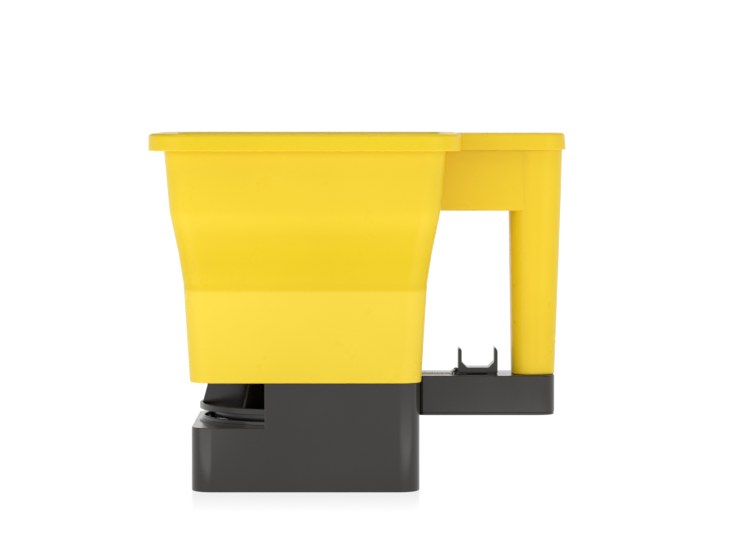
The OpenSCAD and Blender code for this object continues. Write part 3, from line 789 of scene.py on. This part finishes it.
REBUILT = (
    (make_hopper, "yellow", "housing", ("hopper", "handle")),
    (make_housing, "black", "housing", ("base_housing", "disc_guard")),
    (make_arm, "black", "housing", ("arm_shell",)),
    (make_disc, "dark", "impeller", ("impeller",)),
    (make_slider, "black", "shutter", ("finger_slider",)),
)
ROUNDING = {
    "bottom_cover": 0.3, "arm_cover": 0.3, "chute_plate": 0.25, "shutter_plate": 0.2,
    "slider_keeper": 0.2, "agitator": 0.3, "crank_arm": 0.5,
}
rebuilt_nodes = {node for *_, nodes in REBUILT for node in nodes}
SLOT_OF = {part["node"]: part["material_slot"] for part in frame["record"]["subparts"]}
BODY_OF = {node: body for body, nodes in frame["record"]["behaviour"]["bodies"].items() for node in nodes}
for node, slot in SLOT_OF.items():
    if node not in rebuilt_nodes:
        finish_piece(soften(node, ROUNDING.get(node, 0.0)), slot, BODY_OF[node], node)
for make, slot, body, nodes in REBUILT:
    finish_piece(make(), slot, body, *nodes)


# ---------------------------------------------------------------- camera, floor and light

# Strengths of the light from the horizon, the dome above it and the floor.
WHITE = 1.04
DOME = 0.15
FLOOR_GLOW = 1.06
FLOOR_SIDES = 1.5
FLOOR_MIRROR = 0.22
# Places in metres, the camera's tilt down in degrees, and its sensor and lens in millimetres.
FLOOR_DROP = 0.0002
CAMERA_PLACE = (0.0396, -2.144, 0.256)
CAMERA_TILT = 3.04
SENSOR = 36.0
LENS = 155.3425
AIM = (0.03, 0, 0.12)


def add_camera():
    data = bpy.data.cameras.new("camera")
    data.sensor_width = SENSOR
    data.lens = LENS
    data.clip_start, data.clip_end = 0.1, 30
    cam = bpy.data.objects.new("camera", data)
    cam.location = CAMERA_PLACE
    cam.rotation_euler = (math.radians(90 - CAMERA_TILT), 0, 0)
    bpy.context.scene.collection.objects.link(cam)
    bpy.context.scene.camera = cam


def maths(tree, operation, first, second):
    node = tree.nodes.new("ShaderNodeMath")
    node.operation = operation
    for socket, value in zip(node.inputs, (first, second)):
        if isinstance(value, (int, float)):
            socket.default_value = value
        else:
            tree.links.new(value, socket)
    return node.outputs["Value"]


def floor_glow(tree):
    """Even white, and brighter to the front left and front right, which glossy corners pick up."""
    coords = tree.nodes.new("ShaderNodeTexCoord")
    split = tree.nodes.new("ShaderNodeSeparateXYZ")
    tree.links.new(coords.outputs["Object"], split.inputs["Vector"])
    x, y = split.outputs["X"], split.outputs["Y"]
    left = ramp(tree, x, 1.0, 0.0, -0.105, -0.07)
    right = ramp(tree, x, 0.0, 0.9, 0.07, 0.19)
    near = ramp(tree, y, 1.0, 0.0, -0.19, -0.12)
    reach = tree.nodes.new("ShaderNodeVectorMath")
    reach.operation = "LENGTH"
    tree.links.new(coords.outputs["Object"], reach.inputs[0])
    fade = ramp(tree, reach.outputs["Value"], 1.0, 0.0, 0.45, 0.7)
    zone = maths(tree, "MULTIPLY", maths(tree, "MULTIPLY", maths(tree, "ADD", left, right), near), fade)
    return maths(tree, "ADD", maths(tree, "MULTIPLY", zone, FLOOR_SIDES), FLOOR_GLOW)


def add_floor():
    """A white studio floor that glows evenly; it mirrors the part faintly, close to its foot."""
    mat, tree, shader = material("studio_floor")
    glow = tree.nodes.new("ShaderNodeEmission")
    tree.links.new(floor_glow(tree), glow.inputs["Strength"])
    gloss = tree.nodes.new("ShaderNodeBsdfGlossy")
    gloss.inputs["Roughness"].default_value = 0.2
    coords = tree.nodes.new("ShaderNodeTexCoord")
    out = coords.outputs["Object"]
    outside_foot = (("ABSOLUTE", None), ("SUBTRACT", (BASE_HL, BASE_HW, 0)), ("MAXIMUM", (0, 0, 0)))
    for operation, constant in outside_foot:
        step = tree.nodes.new("ShaderNodeVectorMath")
        step.operation = operation
        tree.links.new(out, step.inputs[0])
        if constant:
            step.inputs[1].default_value = [c * MM for c in constant]
        out = step.outputs["Vector"]
    away = tree.nodes.new("ShaderNodeVectorMath")
    away.operation = "LENGTH"
    tree.links.new(out, away.inputs[0])
    both = tree.nodes.new("ShaderNodeMixShader")
    fade = ramp(tree, away.outputs["Value"], FLOOR_MIRROR, 0.0, 0.0, 0.14)
    tree.links.new(fade, both.inputs["Fac"])
    tree.links.new(glow.outputs["Emission"], both.inputs[1])
    tree.links.new(gloss.outputs["BSDF"], both.inputs[2])
    tree.links.new(both.outputs["Shader"], tree.nodes["Material Output"].inputs["Surface"])
    tree.nodes.remove(shader)
    bm = bmesh.new()
    bmesh.ops.create_grid(bm, x_segments=1, y_segments=1, size=12000)
    obj = new_object("studio_floor", bm)
    obj.location.z = -FLOOR_DROP
    obj.data.materials.append(mat)


def add_light(name, place, size, glow):
    """A soft box of the given size, in metres, whose face glows with the given radiance."""
    data = bpy.data.lights.new(name, "AREA")
    data.shape = "RECTANGLE"
    data.size, data.size_y = size
    data.energy = glow * math.pi * size[0] * size[1]
    obj = bpy.data.objects.new(name, data)
    obj.location = place
    obj.rotation_euler = (Vector(AIM) - Vector(place)).to_track_quat("-Z", "Y").to_euler()
    bpy.context.scene.collection.objects.link(obj)


def add_world():
    """White round the horizon, and a darker dome above it."""
    world = bpy.data.worlds.new("studio")
    world.use_nodes = True
    tree = world.node_tree
    back = tree.nodes["Background"]
    coords = tree.nodes.new("ShaderNodeTexCoord")
    split = tree.nodes.new("ShaderNodeSeparateXYZ")
    tree.links.new(coords.outputs["Generated"], split.inputs["Vector"])
    tree.links.new(ramp(tree, split.outputs["Z"], WHITE, DOME, 0.22, 0.5), back.inputs["Strength"])
    back.inputs["Color"].default_value = (1, 1, 1, 1)
    bpy.context.scene.world = world


add_camera()
add_floor()
add_world()
add_light("left_box", (-1.1, -1.5, 0.32), (1.3, 0.55), 0.9)
add_light("right_box", (1.1, -1.5, 0.32), (1.3, 0.55), 0.9)
add_light("top_box", (0.05, -0.35, 1.5), (1.5, 1.3), 1.5)
add_light("back_box", (0.5, 1.5, 1.5), (1.6, 0.9), 1.6)
bpy.context.scene.view_settings.view_transform = "Standard"
